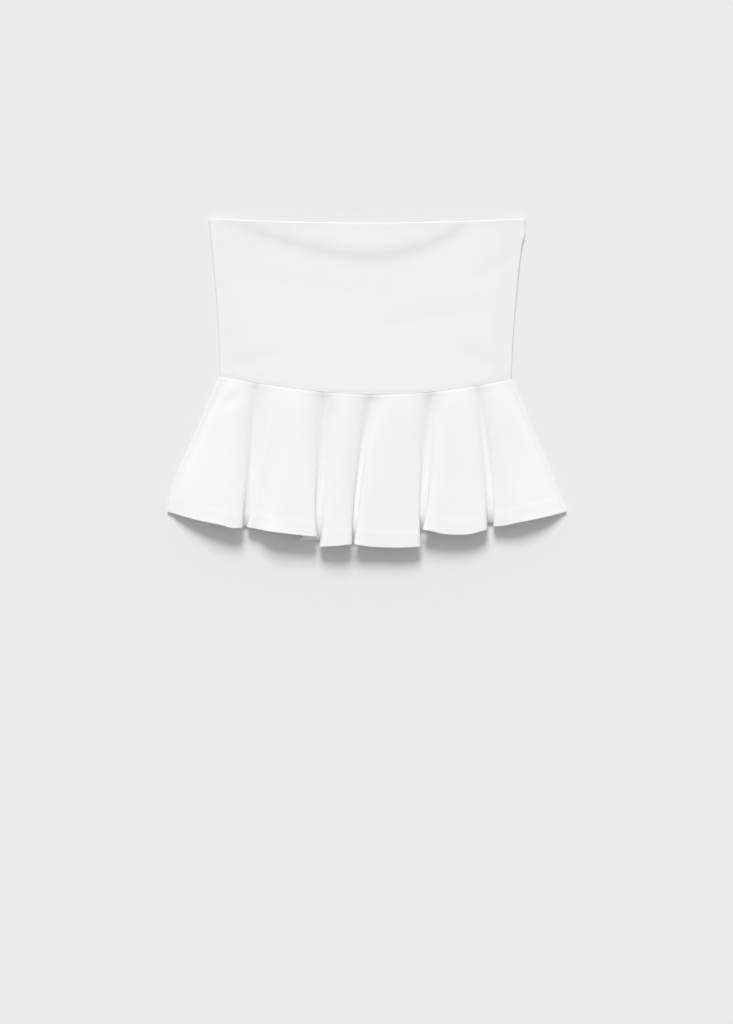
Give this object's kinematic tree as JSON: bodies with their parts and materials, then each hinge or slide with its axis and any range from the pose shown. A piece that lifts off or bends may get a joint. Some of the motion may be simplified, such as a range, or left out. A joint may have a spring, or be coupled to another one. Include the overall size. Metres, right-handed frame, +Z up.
{
  "type": "peplum top",
  "caption": "Strapless knit top laid flat: a smooth tube bodice with a flared flounce, folded into soft flutes, sewn to its waist.",
  "frame": {"origin": "on the surface that the garment lies on, under the middle of its bounding box", "axes": "+X across the garment to the right as seen from above with the neckline up, +Y from the hem to the neckline, +Z up from the surface through the back and the front"},
  "size_m": [0.4709, 0.3878, 0.0219],
  "materials": {
    "white_knit": "compact matt double knit"
  },
  "bodies": {
    "root": {"front_bodice": "white_knit", "back_bodice": "white_knit", "front_flounce_1": "white_knit", "front_flounce_2": "white_knit", "front_flounce_3": "white_knit", "front_flounce_4": "white_knit", "front_flounce_5": "white_knit", "front_flounce_6": "white_knit", "back_flounce_1": "white_knit", "back_flounce_2": "white_knit", "back_flounce_3": "white_knit", "back_flounce_4": "white_knit", "back_flounce_5": "white_knit", "back_flounce_6": "white_knit"}
  },
  "joints": []
}
